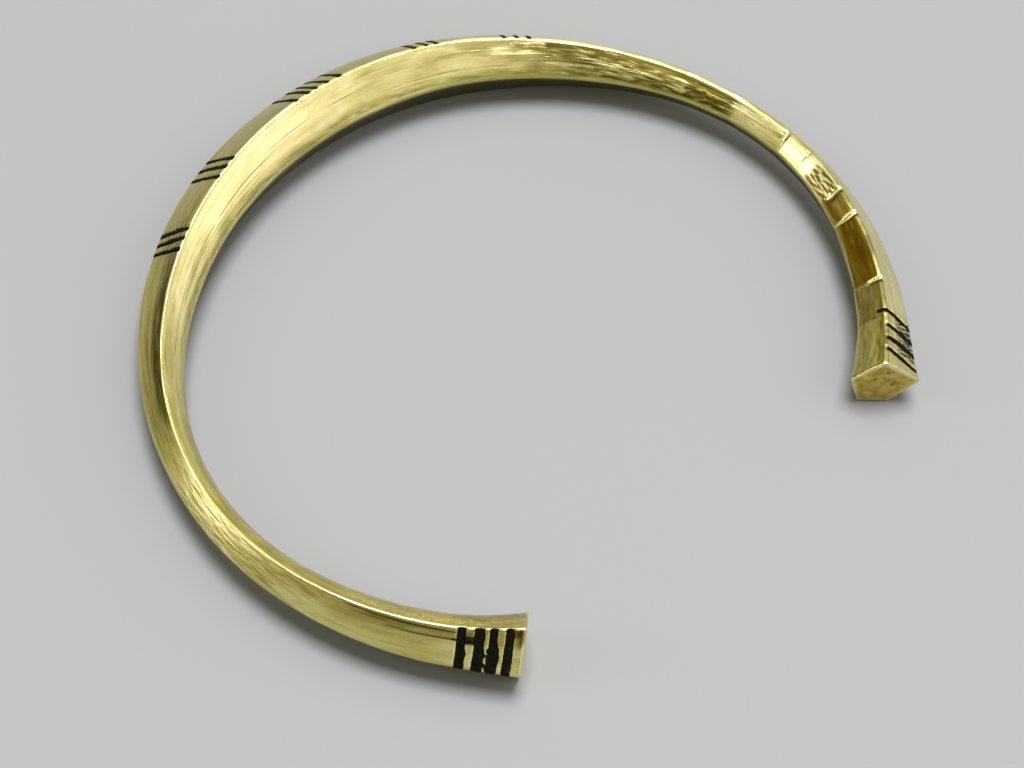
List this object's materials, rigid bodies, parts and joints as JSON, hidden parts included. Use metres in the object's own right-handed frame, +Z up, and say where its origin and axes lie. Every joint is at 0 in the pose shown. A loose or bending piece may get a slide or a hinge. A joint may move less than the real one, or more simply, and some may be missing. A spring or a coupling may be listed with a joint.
{
  "type": "cuff bracelet",
  "caption": "Open oval cuff bracelet of solid brass bar, square on edge, swollen at the back and flared at the tips, with black-filled cross lines.",
  "frame": {"origin": "centre of the cuff's footprint, on the plane it rests on when it lies on its side", "axes": "+Z up through the wrist space, +Y from the gap towards the back of the cuff, +X across the cuff, its widest way"},
  "size_m": [0.0658, 0.0566, 0.0062],
  "materials": {
    "brass": "filed and brushed lengthwise, worn bright on the edges",
    "black_fill": "black enamel-like filling, satin, slightly uneven"
  },
  "bodies": {
    "root": {"cuff_bar": "brass", "back_lines": "black_fill", "left_back_lines": "black_fill", "right_back_lines": "black_fill", "left_side_lines": "black_fill", "right_side_lines": "black_fill", "left_tip_lines": "black_fill", "right_tip_lines": "black_fill"}
  },
  "joints": []
}
